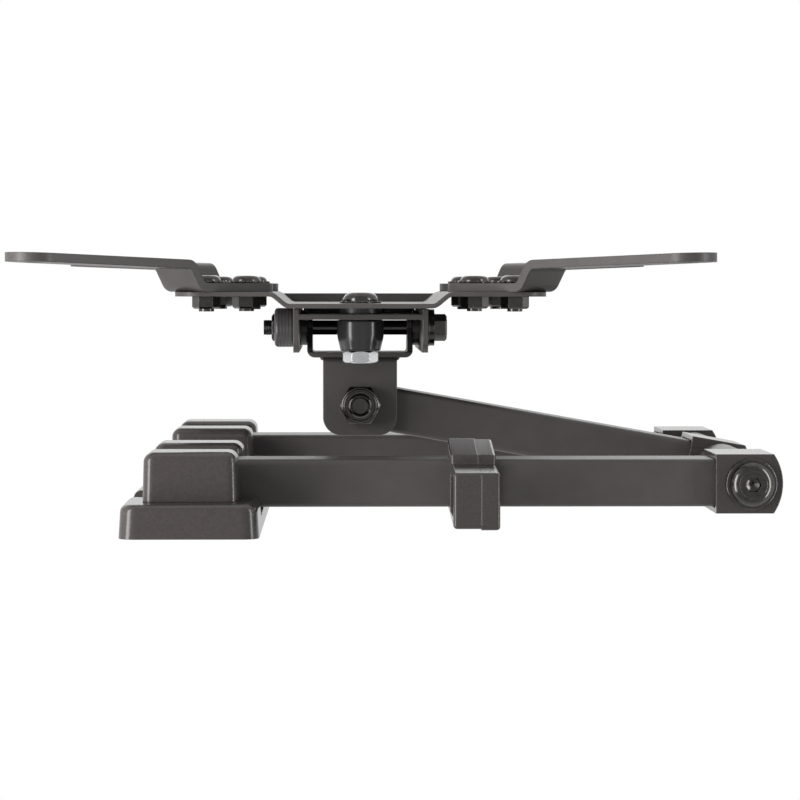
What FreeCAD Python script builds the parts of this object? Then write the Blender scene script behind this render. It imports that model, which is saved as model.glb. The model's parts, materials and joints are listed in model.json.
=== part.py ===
import FreeCAD, Part
import math
import os
import Sketcher

# Swivel wall mount for a flat screen, folded flat against the wall.
# Millimetres. The origin is the middle of the wall plate's back face, +Z is up, and the mount
# stands out of the wall along -Y. A distance out of the wall is called "out" below.

SIZES = {
    # wall plate, its welded ears and its moulded cover
    "plate_thick": 2.5,
    "lag_spacing": 48.0,
    "lag_hole_r": 4.25,
    "lag_access_r": 9.0,
    "ear_wide": 18.0,
    "ear_thick": 2.5,
    "cover_wide": 42.5,
    "cover_out": 10.4,
    "cover_wall": 2.0,
    "cover_margin": 10.0,
    "cover_round": 2.4,
    "cover_corner": 5.0,
    "cover_draft": 0.6,
    "cover_gap": 0.3,
    "rail_out": 4.5,
    "tower_wide": 29.6,
    "tower_deep": 21.5,
    "tower_out": 25.6,
    "tower_round": 3.2,
    "channel_tall": 28.0,
    # arm tubes and the three vertical axes
    "arm_pitch": 141.0,
    "arm_reach": 174.5,
    "forearm_reach": 124.0,
    "forearm_angle": 10.1,
    "pivot_out": 14.3,
    "tube_wide": 15.0,
    "tube_tall": 20.0,
    "tube_wall": 1.5,
    "tube_round": 1.8,
    "tube_end": 7.0,
    "plug_thick": 1.2,
    # pivot hardware
    "shaft_r": 4.0,
    "running_gap": 0.05,
    "face_gap": 0.15,
    "bush_r": 5.5,
    "bush_flange_r": 6.8,
    "bush_deep": 3.0,
    "hex_wide": 12.4,
    "hex_chamfer": 0.8,
    "hex_head_tall": 5.3,
    "hex_nut_tall": 6.8,
    "lock_nut_tall": 6.2,
    "lock_collar_tall": 1.8,
    "lock_collar_r": 5.6,
    "thread_proud": 1.4,
    "thread_chamfer": 1.2,
    # elbow caps, spacers and screws
    "cap_back": 11.0,
    "cap_front": 10.0,
    "cap_nose_r": 16.6,
    "cap_wide": 18.6,
    "cap_tall": 28.0,
    "cap_wall": 2.0,
    "cap_side": 1.6,
    "spacer_r": 8.6,
    "elbow_washer_r": 8.1,
    "elbow_washer_thick": 1.6,
    "elbow_washer_round": 0.5,
    "elbow_screw_r": 2.5,
    "elbow_screw_deep": 12.0,
    "elbow_head_r": 6.4,
    "elbow_head_tall": 3.3,
    "elbow_socket_wide": 4.4,
    "elbow_socket_deep": 2.4,
    # swivel head: clevis and yoke
    "sheet": 1.8,
    "clevis_wide": 25.0,
    "clevis_drop": 10.2,
    "clevis_gap": 2.0,
    "clevis_corner": 6.0,
    "yoke_out": 52.0,
    "yoke_wide": 35.8,
    "yoke_tall": 24.0,
    "yoke_bend": 2.6,
    "yoke_eye_r": 5.0,
    # tilt bracket, bolt and knob
    "tilt_out": 62.0,
    "tilt_bolt_r": 2.5,
    "tilt_hex_wide": 8.0,
    "tilt_hex_chamfer": 0.6,
    "tilt_head_tall": 4.3,
    "tilt_nut_tall": 4.0,
    "tilt_nut_proud": 1.0,
    "tilt_thread_proud": 2.7,
    "side_gap": 40.4,
    "side_tall": 92.0,
    "side_low": 54.4,
    "side_corner": 4.0,
    "strip_out": 65.2,
    "strip_tall": 20.0,
    "friction_r": 6.0,
    "tilt_washer_r": 6.4,
    "tilt_washer_thick": 1.75,
    "tilt_knob_r": 6.7,
    "tilt_knob_long": 7.0,
    "tilt_knob_groove": 0.2,
    "tilt_knob_round": 1.2,
    # screen plate, extension arms and their screws
    "screen_plate_wide": 120.0,
    "screen_sheet": 1.5,
    "screen_corner": 8.0,
    "floor_out": 69.0,
    "floor_half": 24.2,
    "flange_half": 28.8,
    "flange_rise": 3.8,
    "bend_shift": 0.54,
    "tray_bend": 2.5,
    "inner_hole": 37.5,
    "middle_hole": 50.0,
    "outer_hole": 100.0,
    "outer_hole_r": 3.25,
    "strap_wide": 17.5,
    "strap_thick": 2.8,
    "strap_step_start": 80.5,
    "strap_step_run": 4.5,
    "strap_step_rise": 7.4,
    "strap_splay": 1.73,
    "strap_bend": 1.8,
    "plate_screw_r": 2.5,
    "plate_head_r": 4.75,
    "plate_head_tall": 2.5,
    "plate_socket_wide": 3.0,
    "plate_socket_deep": 1.7,
    "plate_nut_wide": 8.0,
    "plate_nut_tall": 4.0,
    "plate_screw_proud": 0.85,
    "dome_share": 0.75,
    # level pivot and clamp
    "clamp_drop": 36.0,
    "clamp_bolt_r": 3.0,
    "clamp_head_r": 5.75,
    "clamp_head_tall": 3.6,
    "level_sweep": 3.0,
    "slot_gap": 0.3,
    "level_washer_r": 7.0,
    "level_pad_half": 19.6,
    "level_pad_tall": 16.0,
    "rivet_head_r": 6.0,
    "rivet_head_tall": 2.0,
    "knob_foot_wide": 12.8,
    "knob_tall": 10.1,
    "knob_taper": 6.0,
    "clamp_nut_wide": 10.0,
    "clamp_nut_tall": 4.1,
    # cable clip on the lower arm
    "clip_at": 80.2,
    "clip_long": 8.6,
    "keeper_long": 5.8,
    "clip_gap": 0.15,
    "clip_wall": 1.6,
    "clip_channel": 24.0,
    "clip_front_out": 19.2,
    "clip_front_low": 2.0,
    "clip_back_rise": 5.6,
    "clip_step": 1.4,
    "clip_round": 1.2,
    "keeper_drop": 0.4,
}

doc = FreeCAD.newDocument("swivel_wall_mount")
sheet = doc.addObject("Spreadsheet::Sheet", "Sizes")


class Size:
    """A number together with the formula that ties it to the sheet."""

    def __init__(self, value, text):
        self.value = value
        self.text = text

    def __add__(self, other):
        other = as_size(other)
        return Size(self.value + other.value, f"({self.text} + {other.text})")

    def __radd__(self, other):
        return as_size(other) + self

    def __sub__(self, other):
        other = as_size(other)
        return Size(self.value - other.value, f"({self.text} - {other.text})")

    def __rsub__(self, other):
        return as_size(other) - self

    def __mul__(self, other):
        other = as_size(other)
        return Size(self.value * other.value, f"({self.text} * {other.text})")

    def __rmul__(self, other):
        return as_size(other) * self

    def __truediv__(self, other):
        other = as_size(other)
        return Size(self.value / other.value, f"({self.text} / {other.text})")

    def __neg__(self):
        return Size(-self.value, f"(0 - {self.text})")


def as_size(number):
    if isinstance(number, Size):
        return number
    return Size(float(number), repr(float(number)))


def cosine(angle):
    return Size(math.cos(math.radians(angle.value)), f"cos({angle.text})")


def sine(angle):
    return Size(math.sin(math.radians(angle.value)), f"sin({angle.text})")


def tangent(angle):
    return Size(math.tan(math.radians(angle.value)), f"tan({angle.text})")


def root(number):
    number = as_size(number)
    return Size(math.sqrt(number.value), f"sqrt({number.text})")


def fill_sheet():
    """Write every driving size to its own cell, and hand back the sizes by name."""
    sizes = {}
    for row, (name, value) in enumerate(SIZES.items(), start=1):
        cell = f"A{row}"
        sheet.set(cell, repr(value))
        sheet.setAlias(cell, name)
        sizes[name] = Size(value, f"Sizes.{name}")
    doc.recompute()
    return type("Sizes", (), sizes)


S = fill_sheet()
ORIGIN = (as_size(0), as_size(0))
FOUR_CORNERS = ((-1, -1), (1, -1), (1, 1), (-1, 1))
BOTH_SIDES = (-1, 1)
# How far a cutter runs past the solid it cuts
BEYOND = as_size(1)
# A half circle drawn a touch flatter, so that it bulges to one side only
HALF_BOW = 1.001

# Each plane gives the two axes of a sketch. "out" replaces Y, so it counts against Y.
PLANES = {
    "front": ("XZ_Plane", 1, 1),
    "plan": ("XY_Plane", 1, -1),
    "side": ("YZ_Plane", -1, 1),
}


def polygon(*points, arcs=None):
    return ("polygon", [(as_size(a), as_size(b)) for a, b in points], arcs or {})


def circle(centre, radius):
    return ("circle", (as_size(centre[0]), as_size(centre[1])), as_size(radius))


def rectangle(low_a, high_a, low_b, high_b):
    return polygon((low_a, low_b), (high_a, low_b), (high_a, high_b), (low_a, high_b))


def hexagon(centre, across_flats, sides=6):
    """A regular nut outline with flats across its second axis."""
    corner_r = across_flats / (2 * math.cos(math.pi / sides))
    points = []
    for corner in range(sides):
        angle = 2 * math.pi * corner / sides
        points.append((centre[0] + corner_r * math.cos(angle), centre[1] + corner_r * math.sin(angle)))
    return polygon(*points)


def bind(target, path, size):
    target.setExpression(path, as_size(size).text)


class Piece:
    """One solid, or one group of like solids, built as a body from bound sketches."""

    def __init__(self, label, at=(0, 0, 0), turn=None, rotation=None):
        self.body = doc.addObject("PartDesign::Body", label)
        self.body.Label = label
        self.body.AllowCompound = True
        self.count = 0
        if rotation is not None:
            self.body.Placement = FreeCAD.Placement(FreeCAD.Vector(), rotation)
        if turn is not None:
            turning = FreeCAD.Rotation(FreeCAD.Vector(0, 0, 1), as_size(turn).value)
            self.body.Placement = FreeCAD.Placement(FreeCAD.Vector(), turning)
            bind(self.body, "Placement.Rotation.Angle", turn)
        for axis, size in zip("xyz", at):
            bind(self.body, f"Placement.Base.{axis}", size)

    def sketch(self, plane, start, shapes):
        role, sign_a, sign_b = PLANES[plane]
        self.count += 1
        drawn = self.body.newObject("Sketcher::SketchObject", f"{self.body.Name}_sketch{self.count}")
        support = [f for f in self.body.Origin.OriginFeatures if f.Role == role][0]
        drawn.AttachmentSupport = [(support, "")]
        drawn.MapMode = "FlatFace"
        bind(drawn, "AttachmentOffset.Base.z", start)
        for shape in shapes:
            if shape[0] == "circle":
                self.draw_circle(drawn, (sign_a * shape[1][0], sign_b * shape[1][1]), shape[2])
            else:
                self.draw_polygon(drawn, [(sign_a * a, sign_b * b) for a, b in shape[1]], shape[2])
        return drawn

    def pin_down(self, drawn, geometry, end, point):
        """Tie one point of a sketch to the sheet by its two distances from the origin."""
        for kind, size in zip(("DistanceX", "DistanceY"), point):
            index = drawn.addConstraint(
                Sketcher.Constraint(kind, -1, 1, geometry, end, size.value))
            bind(drawn, f"Constraints[{index}]", size)

    def draw_circle(self, drawn, centre, radius):
        middle = FreeCAD.Vector(centre[0].value, centre[1].value, 0)
        index = drawn.addGeometry(Part.Circle(middle, FreeCAD.Vector(0, 0, 1), radius.value), False)
        self.pin_down(drawn, index, 3, centre)
        rule = drawn.addConstraint(Sketcher.Constraint("Radius", index, radius.value))
        bind(drawn, f"Constraints[{rule}]", radius)

    def draw_polygon(self, drawn, points, arcs):
        """A closed outline. arcs gives the radius of a side that bulges outwards."""
        first = drawn.GeometryCount
        total = len(points)
        flat = [FreeCAD.Vector(a.value, b.value, 0) for a, b in points]
        area = sum(flat[i].x * flat[(i + 1) % total].y - flat[(i + 1) % total].x * flat[i].y
                   for i in range(total))
        ends = []
        for side in range(total):
            start, stop = flat[side], flat[(side + 1) % total]
            if side not in arcs:
                drawn.addGeometry(Part.LineSegment(start, stop), False)
                ends.append((1, 2))
                continue
            chord = stop - start
            normal = FreeCAD.Vector(chord.y, -chord.x, 0)
            normal.normalize()
            if area < 0:
                normal = -normal
            radius = arcs[side].value
            sagitta = radius - math.sqrt(radius ** 2 - (chord.Length / 2) ** 2)
            crown = (start + stop) * 0.5 + normal * sagitta
            drawn.addGeometry(Part.Arc(start, crown, stop), False)
            ends.append((1, 2) if area > 0 else (2, 1))
            rule = drawn.addConstraint(Sketcher.Constraint("Radius", first + side, radius))
            bind(drawn, f"Constraints[{rule}]", arcs[side])
        for side in range(total):
            after = (side + 1) % total
            drawn.addConstraint(Sketcher.Constraint(
                "Coincident", first + side, ends[side][1], first + after, ends[after][0]))
        for side in range(total):
            self.pin_down(drawn, first + side, ends[side][0], points[side])

    def pad(self, plane, start, length, *shapes, taper=None):
        drawn = self.sketch(plane, start, shapes)
        feature = self.body.newObject("PartDesign::Pad", f"{self.body.Name}_pad{self.count}")
        feature.Profile = drawn
        bind(feature, "Length", length)
        if taper is not None:
            bind(feature, "TaperAngle", taper)
        return self

    def cut(self, plane, start, length, *shapes):
        drawn = self.sketch(plane, start, shapes)
        doc.recompute()
        before = self.body.Shape.Volume
        feature = self.body.newObject("PartDesign::Pocket", f"{self.body.Name}_cut{self.count}")
        feature.Profile = drawn
        feature.Reversed = True
        bind(feature, "Length", length)
        doc.recompute()
        if not self.body.Shape.Volume < before:
            raise ValueError(f"{self.body.Label}: a cut misses the solid")
        return self

    def round(self, radius, test, kind="Fillet"):
        """Round, or chamfer, the edges of the newest shape that pass the test."""
        doc.recompute()
        base = self.body.Tip
        names = [f"Edge{n}" for n, edge in enumerate(base.Shape.Edges, start=1) if test(edge)]
        if not names:
            raise ValueError(f"{self.body.Label}: no edge to round")
        self.count += 1
        feature = self.body.newObject(f"PartDesign::{kind}", f"{self.body.Name}_round{self.count}")
        feature.Base = (base, names)
        bind(feature, "Radius" if kind == "Fillet" else "Size", radius)
        return self


NEAR = 0.01


def runs_along(axis, **places):
    """A test for straight edges along an axis whose middle lies at the given places."""
    def test(edge):
        if not isinstance(edge.Curve, Part.Line):
            return False
        direction = edge.Curve.Direction
        if abs(abs(getattr(direction, axis)) - 1) > NEAR:
            return False
        return lies_at(edge, places)
    return test


def lies_at(edge, places):
    middle = edge.BoundBox.Center
    for axis, wanted in places.items():
        if not any(abs(getattr(middle, axis) - value) < NEAR for value in wanted):
            return False
    return True


def flat_at(axis, *places):
    """A test for straight edges that lie in one of the planes across an axis."""
    def test(edge):
        if not isinstance(edge.Curve, Part.Line):
            return False
        thickness = getattr(edge.BoundBox, f"{axis.upper()}Length")
        return thickness < NEAR and lies_at(edge, {axis: values(*places)})
    return test


def ring_of(radius, **places):
    """A test for round edges of one radius at the given places."""
    def test(edge):
        if not isinstance(edge.Curve, Part.Circle):
            return False
        return abs(edge.Curve.Radius - as_size(radius).value) < NEAR and lies_at(edge, places)
    return test


def values(*sizes):
    return [as_size(size).value for size in sizes]


# Places that several pieces share
ARM_LEVELS = (-S.arm_pitch / 2, S.arm_pitch / 2)
EAR_IN = S.channel_tall / 2 + S.cover_wall + S.cover_gap
EAR_OUT = EAR_IN + S.ear_thick
TOWER_REACH = S.channel_tall / 2 + S.tower_deep
PLATE_HALF = S.arm_pitch / 2 + TOWER_REACH
COVER_HALF = PLATE_HALF + S.cover_margin
HEAD_X = S.arm_reach - S.forearm_reach * cosine(S.forearm_angle)
HEAD_OUT = S.pivot_out + S.forearm_reach * sine(S.forearm_angle)
ELBOW_AT = (S.arm_reach, -S.pivot_out, 0)
FOREARM_TURN = 180 + S.forearm_angle
HEAD_AT = (HEAD_X, 0, 0)
SHAFT_HOLE_R = S.shaft_r + S.running_gap
WALL_AXIS = (as_size(0), S.pivot_out)
HEAD_AXIS = (as_size(0), HEAD_OUT)


# The wall plate: one flat plate with four ears welded to it
def make_wall_plate():
    piece = Piece("wall_plate")
    half = S.cover_wide / 2 - S.cover_wall - S.cover_gap
    piece.pad("front", 0, S.plate_thick, rectangle(-half, half, -PLATE_HALF, PLATE_HALF))
    for level in ARM_LEVELS:
        for start in (level - EAR_OUT, level + EAR_IN):
            foot = rectangle(-S.ear_wide / 2, S.ear_wide / 2, S.plate_thick / 2, S.pivot_out)
            piece.pad("plan", start, S.ear_thick, foot)
            piece.pad("plan", start, S.ear_thick, circle(WALL_AXIS, S.ear_wide / 2))
    piece.cut("plan", -PLATE_HALF, 2 * PLATE_HALF, circle(WALL_AXIS, S.shaft_r))
    lags = [circle((0, side * S.lag_spacing / 2), S.lag_hole_r) for side in BOTH_SIDES]
    piece.cut("front", 0, S.plate_thick, *lags)


# The cover: a low moulded base with four towers over the ears, parted at the base's face
def block(name, half_wide, low_z, high_z, out, corner, radius):
    """A drafted block that stands out of the wall, with rounded corners and a rounded front rim."""
    draft = S.cover_draft
    wedge = doc.addObject("Part::Wedge", name)
    bind(wedge, "Xmin", -half_wide)
    bind(wedge, "Xmax", half_wide)
    bind(wedge, "X2min", -half_wide + draft)
    bind(wedge, "X2max", half_wide - draft)
    bind(wedge, "Ymin", 0)
    bind(wedge, "Ymax", out)
    bind(wedge, "Zmin", -high_z)
    bind(wedge, "Zmax", -low_z)
    bind(wedge, "Z2min", -high_z + draft)
    bind(wedge, "Z2max", -low_z - draft)
    wedge.Placement = FreeCAD.Placement(
        FreeCAD.Vector(), FreeCAD.Rotation(FreeCAD.Vector(1, 0, 0), 180))
    doc.recompute()
    rounded = doc.addObject("Part::Fillet", f"{name}_rounded")
    rounded.Base = wedge
    rounds = []
    for number, edge in enumerate(wedge.Shape.Edges, start=1):
        if edge.BoundBox.YLength > NEAR:
            rounds.append((number, corner.value, corner.value))
        elif edge.BoundBox.YMax < -NEAR:
            rounds.append((number, radius.value, radius.value))
    rounded.Edges = rounds
    return rounded


def hollow(name, low_x, high_x, low_z, high_z, low_out, high_out):
    box = doc.addObject("Part::Box", name)
    bind(box, "Length", high_x - low_x)
    bind(box, "Width", high_out - low_out)
    bind(box, "Height", high_z - low_z)
    bind(box, "Placement.Base.x", low_x)
    bind(box, "Placement.Base.y", -high_out)
    bind(box, "Placement.Base.z", low_z)
    return box


def bar(name, x, out, low_z, length, radius):
    """A round cutter that stands along Z."""
    rod = doc.addObject("Part::Cylinder", name)
    bind(rod, "Radius", radius)
    bind(rod, "Height", length)
    bind(rod, "Placement.Base.x", x)
    bind(rod, "Placement.Base.y", -out)
    bind(rod, "Placement.Base.z", low_z)
    return rod


def make_wall_cover():
    wall = S.cover_wall
    blocks = [block("cover_base", S.cover_wide / 2, -COVER_HALF, COVER_HALF, S.cover_out,
                    S.cover_corner, S.cover_round)]
    cutters = [hollow("cover_inside", -S.cover_wide / 2 + wall, S.cover_wide / 2 - wall,
                      -COVER_HALF + wall, COVER_HALF - wall, -BEYOND, S.cover_out - wall)]
    slot_r = S.bush_flange_r + S.cover_gap
    for number, level in enumerate(ARM_LEVELS):
        for side, low in (("a", level - TOWER_REACH), ("b", level + S.channel_tall / 2)):
            name = f"tower_{number}{side}"
            blocks.append(block(name, S.tower_wide / 2, low, low + S.tower_deep, S.tower_out,
                                S.tower_round, S.tower_round))
            cutters.append(hollow(f"{name}_inside", -S.tower_wide / 2 + wall, S.tower_wide / 2 - wall,
                                  low + wall, low + S.tower_deep - wall, -BEYOND, S.tower_out - wall))
        half = S.channel_tall / 2
        cutters.append(hollow(f"channel_{number}", -S.cover_wide, S.cover_wide, level - half, level + half,
                              S.rail_out, S.tower_out + BEYOND))
        reach = half + wall + S.cover_gap
        cutters.append(hollow(f"slot_{number}", -slot_r, slot_r, level - reach, level + reach,
                              -BEYOND, S.pivot_out))
        cutters.append(bar(f"slot_end_{number}", as_size(0), S.pivot_out, level - reach, 2 * reach, slot_r))
    for number, side in enumerate(BOTH_SIDES):
        access = doc.addObject("Part::Cylinder", f"lag_access_{number}")
        bind(access, "Radius", S.lag_access_r)
        bind(access, "Height", S.cover_out + BEYOND)
        access.Placement = FreeCAD.Placement(
            FreeCAD.Vector(), FreeCAD.Rotation(FreeCAD.Vector(1, 0, 0), 90))
        bind(access, "Placement.Base.z", side * S.lag_spacing / 2)
        cutters.append(access)
    shell = doc.addObject("Part::MultiFuse", "cover_blocks")
    shell.Shapes = blocks
    space = doc.addObject("Part::MultiFuse", "cover_space")
    space.Shapes = cutters
    whole = doc.addObject("Part::Cut", "cover_shell")
    whole.Base = shell
    whole.Tool = space
    layer = hollow("cover_layer", -S.cover_wide, S.cover_wide, -2 * COVER_HALF, 2 * COVER_HALF,
                   -BEYOND, S.cover_out)
    for kind, label in (("Common", "wall_cover"), ("Cut", "cover_towers")):
        cover = doc.addObject(f"Part::{kind}", label)
        cover.Base = whole
        cover.Tool = layer


# Two bolts, each through a pair of ears, with the head on the outer side
def make_wall_pivots():
    bolts = Piece("wall_pivot_bolts")
    nuts = Piece("wall_pivot_nuts")
    shank = 2 * EAR_OUT + S.hex_nut_tall + S.thread_proud
    outline = hexagon(WALL_AXIS, S.hex_wide)
    low, high = ARM_LEVELS
    bolts.pad("plan", low - EAR_OUT - S.hex_head_tall, S.hex_head_tall, outline)
    bolts.pad("plan", high + EAR_OUT, S.hex_head_tall, outline)
    head_end = EAR_OUT + S.hex_head_tall
    bolts.round(S.hex_chamfer, flat_at("z", low - head_end, high + head_end), "Chamfer")
    bolts.pad("plan", low - EAR_OUT, shank, circle(WALL_AXIS, S.shaft_r))
    bolts.pad("plan", high + EAR_OUT - shank, shank, circle(WALL_AXIS, S.shaft_r))
    for start in (low + EAR_OUT, high - EAR_OUT - S.hex_nut_tall):
        nuts.pad("plan", start, S.hex_nut_tall, outline, circle(WALL_AXIS, S.shaft_r))
    nut_end = EAR_OUT + S.hex_nut_tall
    nuts.round(S.hex_chamfer, flat_at("z", low + nut_end, high - nut_end), "Chamfer")


# Tubes: both arms and the forearm are one section of rectangular tube
def make_tube(piece, low_x, high_x, middle_out, level, holes):
    half_wide = S.tube_wide / 2
    half_tall = S.tube_tall / 2
    wall = S.tube_wall
    piece.pad("side", low_x, high_x - low_x,
              rectangle(middle_out - half_wide, middle_out + half_wide, level - half_tall, level + half_tall))
    piece.round(S.tube_round, runs_along("x"))
    piece.cut("side", low_x, high_x - low_x,
              rectangle(middle_out - half_wide + wall, middle_out + half_wide - wall,
                        level - half_tall + wall, level + half_tall - wall))
    for x, radius in holes:
        piece.cut("plan", level - half_tall, S.tube_tall, circle((x, middle_out), radius))


def make_plug(piece, low_x, middle_out, level):
    """A flat plug, flush inside a tube's end."""
    half_wide = S.tube_wide / 2 - S.tube_wall
    half_tall = S.tube_tall / 2 - S.tube_wall
    piece.pad("side", low_x, S.plug_thick,
              rectangle(middle_out - half_wide, middle_out + half_wide, level - half_tall, level + half_tall))


def make_flanged_bushes(piece, axis, levels, flange, bore_r):
    """Nylon bushes pressed into both faces of a tube, with a thick flange outside it."""
    half = S.tube_tall / 2
    bore = circle(axis, bore_r)
    for level in levels:
        piece.pad("plan", level - half - flange, flange, circle(axis, S.bush_flange_r), bore)
        piece.pad("plan", level + half, flange, circle(axis, S.bush_flange_r), bore)
        piece.pad("plan", level - half, S.bush_deep, circle(axis, S.bush_r), bore)
        piece.pad("plan", level + half - S.bush_deep, S.bush_deep, circle(axis, S.bush_r), bore)


def make_arm_pair():
    for label, level in zip(("lower_arm_tube", "upper_arm_tube"), ARM_LEVELS):
        make_tube(Piece(label), -S.tube_end, S.arm_reach + S.tube_end, S.pivot_out, level,
                  ((as_size(0), S.bush_r), (S.arm_reach, S.shaft_r)))
    plugs = Piece("arm_tube_plugs")
    for level in ARM_LEVELS:
        make_plug(plugs, -S.tube_end, S.pivot_out, level)
    flange = EAR_IN - S.tube_tall / 2 - S.face_gap
    make_flanged_bushes(Piece("wall_end_bushes"), WALL_AXIS, ARM_LEVELS, flange, SHAFT_HOLE_R)


# Elbow: three moulded caps on one upright pin, with spacer tubes between them
def make_elbow_cap(piece, level, way, hole_r):
    """A box cap over a tube's end, open on one side and bowed on the other."""
    half_wide = S.cap_wide / 2
    half_tall = S.cap_tall / 2
    nose = S.cap_front - S.cap_nose_r + root(S.cap_nose_r * S.cap_nose_r - half_wide * half_wide)
    outline = polygon((-way * S.cap_back, -half_wide), (way * nose, -half_wide), (way * nose, half_wide),
                      (-way * S.cap_back, half_wide), arcs={1: S.cap_nose_r})
    piece.pad("plan", level - half_tall, S.cap_tall, outline)
    inner_wide = half_wide - S.cap_side
    inner_tall = half_tall - S.cap_wall
    mouth = -way * (S.cap_back + BEYOND)
    floor = way * (S.tube_end + S.face_gap)
    space = polygon((mouth, -inner_wide), (floor, -inner_wide), (floor, inner_wide), (mouth, inner_wide))
    piece.cut("plan", level - inner_tall, 2 * inner_tall, space)
    piece.cut("plan", level - half_tall, S.cap_tall, circle(ORIGIN, hole_r))


def make_elbow():
    for label, level in zip(("lower_elbow_cap", "upper_elbow_cap"), ARM_LEVELS):
        make_elbow_cap(Piece(label, ELBOW_AT), level, 1, S.shaft_r)
    end = S.arm_pitch / 2 + S.cap_tall / 2
    pin = Piece("elbow_pin", ELBOW_AT)
    pin.pad("plan", -end, 2 * end, circle(ORIGIN, S.shaft_r))
    for start in (-end, end - S.elbow_screw_deep):
        pin.cut("plan", start, S.elbow_screw_deep, circle(ORIGIN, S.elbow_screw_r))
    spacers = Piece("elbow_spacers", ELBOW_AT)
    gap = S.arm_pitch / 2 - S.cap_tall - S.face_gap
    for start in (-end + S.cap_tall, end - S.cap_tall - gap):
        spacers.pad("plan", start, gap, circle(ORIGIN, S.spacer_r), circle(ORIGIN, S.shaft_r))
    shims = Piece("elbow_shims", ELBOW_AT)
    shim = S.cap_tall / 2 - S.cap_wall - S.tube_tall / 2
    for level in ARM_LEVELS:
        for start in (level - S.tube_tall / 2 - shim, level + S.tube_tall / 2):
            shims.pad("plan", start, shim, circle(ORIGIN, S.bush_flange_r), circle(ORIGIN, S.shaft_r))
    washers = Piece("elbow_washers", ELBOW_AT)
    thick = S.elbow_washer_thick
    for start in (-end - thick, end):
        washers.pad("plan", start, thick, circle(ORIGIN, S.elbow_washer_r), circle(ORIGIN, S.elbow_screw_r))
    washers.round(S.elbow_washer_round, ring_of(S.elbow_washer_r, z=values(-end - thick, end + thick)))
    screws = Piece("elbow_screws", ELBOW_AT)
    seat = end + thick
    length = S.elbow_screw_deep + thick
    screws.pad("plan", -seat - S.elbow_head_tall, S.elbow_head_tall, circle(ORIGIN, S.elbow_head_r))
    screws.pad("plan", seat, S.elbow_head_tall, circle(ORIGIN, S.elbow_head_r))
    screws.pad("plan", -seat, length, circle(ORIGIN, S.elbow_screw_r))
    screws.pad("plan", seat - length, length, circle(ORIGIN, S.elbow_screw_r))
    top = seat + S.elbow_head_tall
    screws.round(S.elbow_head_tall * S.dome_share, ring_of(S.elbow_head_r, z=values(-top, top)))
    socket = hexagon(ORIGIN, S.elbow_socket_wide)
    for start in (-top, top - S.elbow_socket_deep):
        screws.cut("plan", start, S.elbow_socket_deep, socket)


# Forearm, drawn along its own X from the elbow axis to the head axis
def make_forearm():
    far_axis = (S.forearm_reach, as_size(0))
    tube = Piece("forearm_tube", ELBOW_AT, FOREARM_TURN)
    make_tube(tube, -S.tube_end, S.forearm_reach + S.tube_end, as_size(0), as_size(0),
              ((as_size(0), S.bush_r), (S.forearm_reach, S.bush_r)))
    make_plug(Piece("forearm_plug", ELBOW_AT, FOREARM_TURN), S.forearm_reach + S.tube_end - S.plug_thick,
              as_size(0), as_size(0))
    make_elbow_cap(Piece("forearm_elbow_cap", ELBOW_AT, FOREARM_TURN), as_size(0), -1, SHAFT_HOLE_R)
    flange = S.cap_tall / 2 - S.cap_wall - S.tube_tall / 2
    make_flanged_bushes(Piece("forearm_elbow_bushes", ELBOW_AT, FOREARM_TURN), ORIGIN, (as_size(0),),
                        flange, SHAFT_HOLE_R)
    make_flanged_bushes(Piece("forearm_head_bushes", ELBOW_AT, FOREARM_TURN), far_axis, (as_size(0),),
                        S.clevis_gap - S.face_gap, SHAFT_HOLE_R)


# Swivel head: a folded clevis on the forearm's end, with a folded yoke welded to it
def make_swivel_head():
    inner = S.tube_tall / 2 + S.clevis_gap
    outer = inner + S.sheet
    low = HEAD_OUT - S.clevis_drop
    web = S.yoke_out - S.sheet
    clevis = Piece("pivot_clevis", HEAD_AT)
    fold = polygon((low, -outer), (S.yoke_out, -outer), (S.yoke_out, outer), (low, outer),
                   (low, inner), (web, inner), (web, -inner), (low, -inner))
    clevis.pad("side", -S.clevis_wide / 2, S.clevis_wide, fold)
    clevis.round(S.clevis_corner, runs_along("z", y=values(-low)))
    clevis.round(S.sheet, runs_along("x", y=values(-S.yoke_out)))
    clevis.cut("plan", -outer, 2 * outer, circle(HEAD_AXIS, S.shaft_r))
    yoke = Piece("tilt_yoke", HEAD_AT)
    half_wide = S.yoke_wide / 2
    half_tall = S.yoke_tall / 2
    inside = S.yoke_out + S.sheet
    yoke.pad("front", S.yoke_out, S.sheet, rectangle(-half_wide, half_wide, -half_tall, half_tall))
    eye = (S.tilt_out, as_size(0))
    leg = polygon((S.yoke_out, -half_tall), (S.tilt_out, -S.yoke_eye_r), (S.tilt_out, S.yoke_eye_r),
                  (S.yoke_out, half_tall))
    for start in (-half_wide, half_wide - S.sheet):
        yoke.pad("side", start, S.sheet, leg)
        yoke.pad("side", start, S.sheet, circle(eye, S.yoke_eye_r))
    yoke.round(S.yoke_bend, runs_along("z", y=values(-S.yoke_out), x=values(-half_wide, half_wide)))
    yoke.round(S.yoke_bend - S.sheet,
               runs_along("z", y=values(-inside), x=values(S.sheet - half_wide, half_wide - S.sheet)))
    yoke.cut("side", -half_wide, S.yoke_wide, circle(eye, S.tilt_bolt_r + S.running_gap))
    make_pivot_bolt(outer)


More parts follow.
